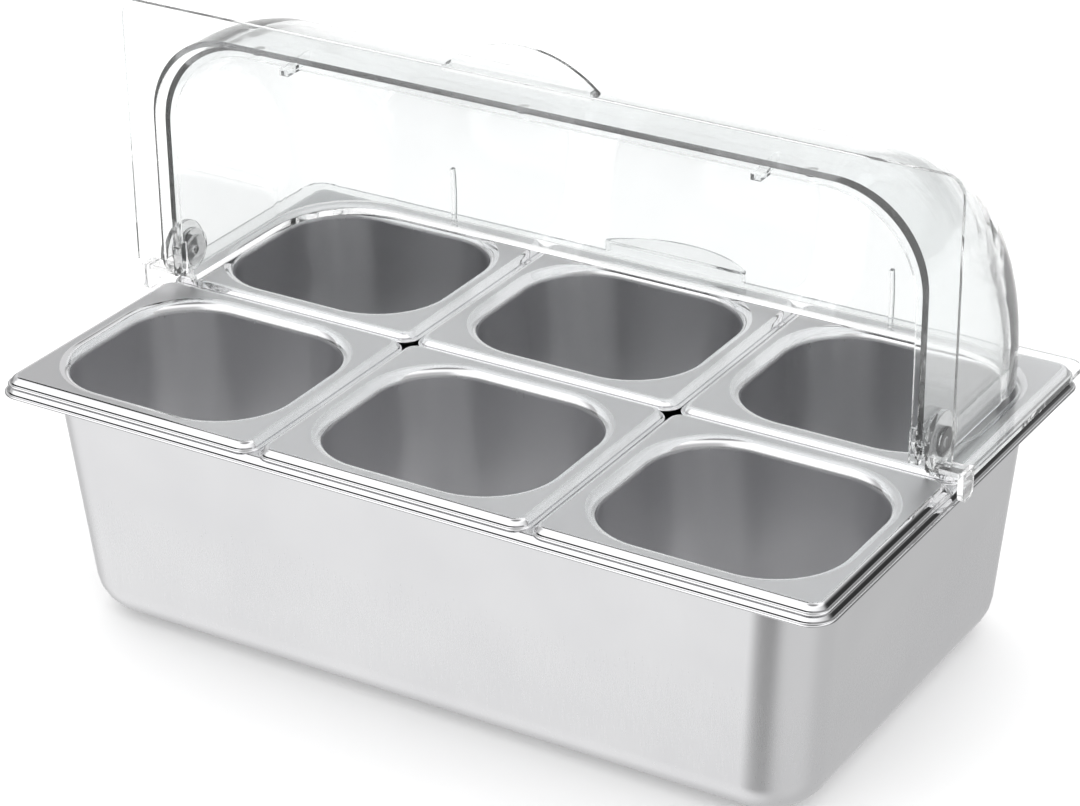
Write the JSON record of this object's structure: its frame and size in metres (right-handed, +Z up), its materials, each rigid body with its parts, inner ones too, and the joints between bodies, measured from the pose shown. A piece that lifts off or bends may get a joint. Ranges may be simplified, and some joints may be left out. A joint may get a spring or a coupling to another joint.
{
  "type": "food display container",
  "caption": "Counter-top food display container: deep steel pan with removable small pans hanging in it, under a clear roll-top lid that opens to the front or the back.",
  "frame": {"origin": "centre of the outer pan's flat base, on the counter", "axes": "+X along the length to the user's right, +Y to the back, +Z up"},
  "size_m": [0.5414, 0.342, 0.3598],
  "materials": {
    "steel_outer_pan": "satin",
    "steel_small_pan": "satin",
    "clear_shell": "clear, polished",
    "clear_fittings": "clear, polished"
  },
  "bodies": {
    "base": {"outer_pan": "steel_outer_pan", "pan_rear_left": "steel_small_pan", "pan_rear_centre": "steel_small_pan", "pan_rear_right": "steel_small_pan"},
    "front_left_pan": {"pan_front_left": "steel_small_pan"},
    "front_centre_pan": {"pan_front_centre": "steel_small_pan"},
    "front_right_pan": {"pan_front_right": "steel_small_pan"},
    "hinge_set": {"hinge_clip_left": "clear_fittings", "hinge_clip_right": "clear_fittings", "pivot_pin_left": "clear_fittings", "pivot_pin_right": "clear_fittings", "spacer_left": "clear_fittings", "spacer_right": "clear_fittings", "pivot_cap_left": "clear_fittings", "pivot_cap_right": "clear_fittings"},
    "rear_lid": {"rear_shell": "clear_shell"},
    "front_lid": {"front_shell": "clear_shell"}
  },
  "joints": [
    {"name": "lid_lift", "type": "slide", "parent": "base", "child": "hinge_set", "axis": [0, 0, 1], "range_m": [0, 0.14]},
    {"name": "rear_roll", "type": "hinge", "parent": "hinge_set", "child": "rear_lid", "pos_m": [0, 0, 0.1803], "axis": [1, 0, 0], "range_deg": [0, 87]},
    {"name": "front_roll", "type": "hinge", "parent": "rear_lid", "child": "front_lid", "pos_m": [0, 0, 0.1803], "axis": [-1, 0, 0], "range_deg": [-90, 0]},
    {"name": "front_left_pan_lift", "type": "slide", "parent": "base", "child": "front_left_pan", "axis": [0, 0, 1], "range_m": [0, 0.006]},
    {"name": "front_centre_pan_lift", "type": "slide", "parent": "base", "child": "front_centre_pan", "axis": [0, 0, 1], "range_m": [0, 0.11]},
    {"name": "front_right_pan_lift", "type": "slide", "parent": "base", "child": "front_right_pan", "axis": [0, 0, 1], "range_m": [0, 0.006]}
  ]
}
